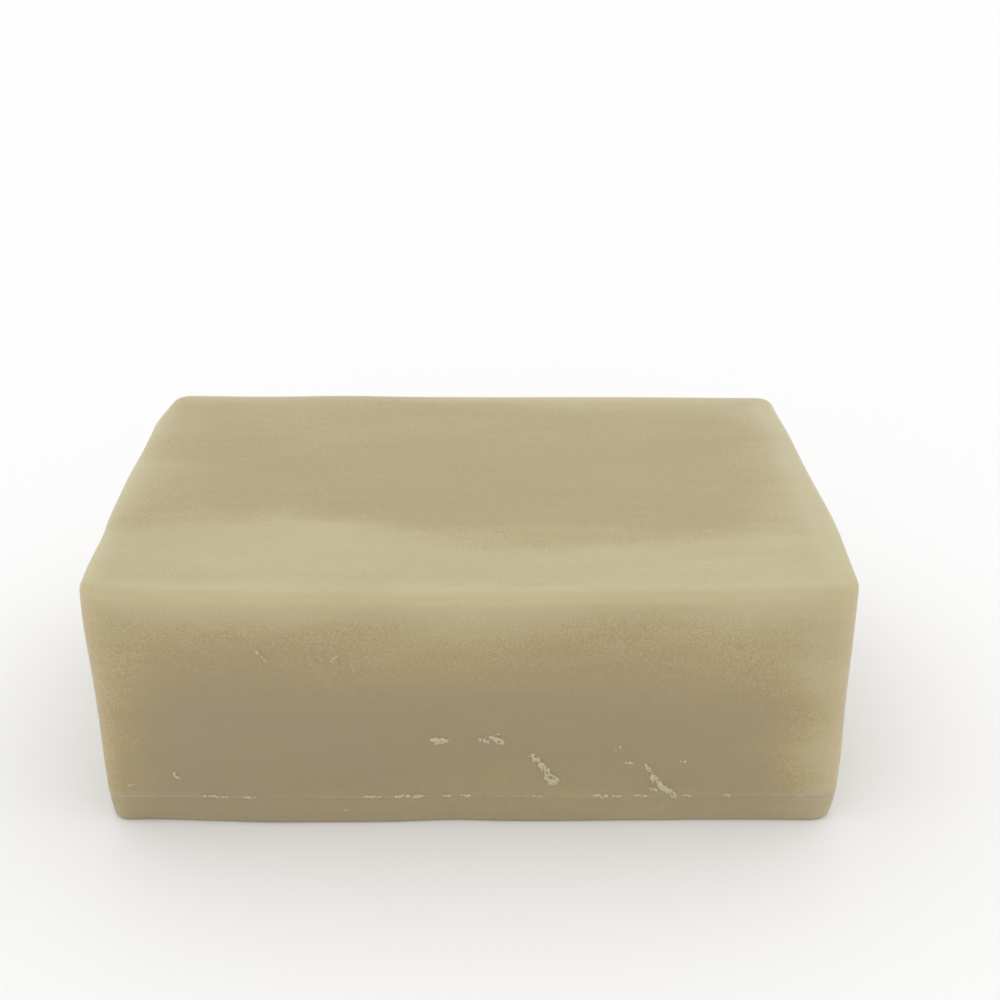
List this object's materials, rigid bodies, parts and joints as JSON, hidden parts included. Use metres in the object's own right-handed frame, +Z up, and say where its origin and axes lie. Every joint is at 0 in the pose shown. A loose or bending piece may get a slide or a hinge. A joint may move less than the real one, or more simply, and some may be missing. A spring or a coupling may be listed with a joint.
{
  "type": "clay bar",
  "caption": "Chunky rectangular bar of waxy khaki detailing clay with softened edges, a bond line near the foot and dried crumbs on its front, for lifting grit off car paint.",
  "frame": {"origin": "under the middle of the bar's box, on the surface that the foot stands on", "axes": "+X along the bar's length, +Y from the front face to the back, +Z up through its thickness"},
  "size_m": [0.08, 0.054, 0.0295],
  "materials": {
    "soft_clay": "satin",
    "dry_clay": "matte"
  },
  "bodies": {
    "root": {"main_slab": "soft_clay", "base_slab": "soft_clay", "face_flake_1": "dry_clay", "face_flake_2": "dry_clay", "face_flake_3": "dry_clay", "face_flake_4": "dry_clay", "face_flake_5": "dry_clay", "face_flake_6": "dry_clay", "face_flake_7": "dry_clay", "face_flake_8": "dry_clay", "face_flake_9": "dry_clay", "seam_crumb_01": "dry_clay", "seam_crumb_02": "dry_clay", "seam_crumb_03": "dry_clay", "seam_crumb_04": "dry_clay", "seam_crumb_05": "dry_clay", "seam_crumb_06": "dry_clay", "seam_crumb_07": "dry_clay", "seam_crumb_08": "dry_clay", "seam_crumb_09": "dry_clay", "seam_crumb_10": "dry_clay", "seam_crumb_11": "dry_clay", "seam_crumb_12": "dry_clay", "seam_crumb_13": "dry_clay"}
  },
  "joints": []
}
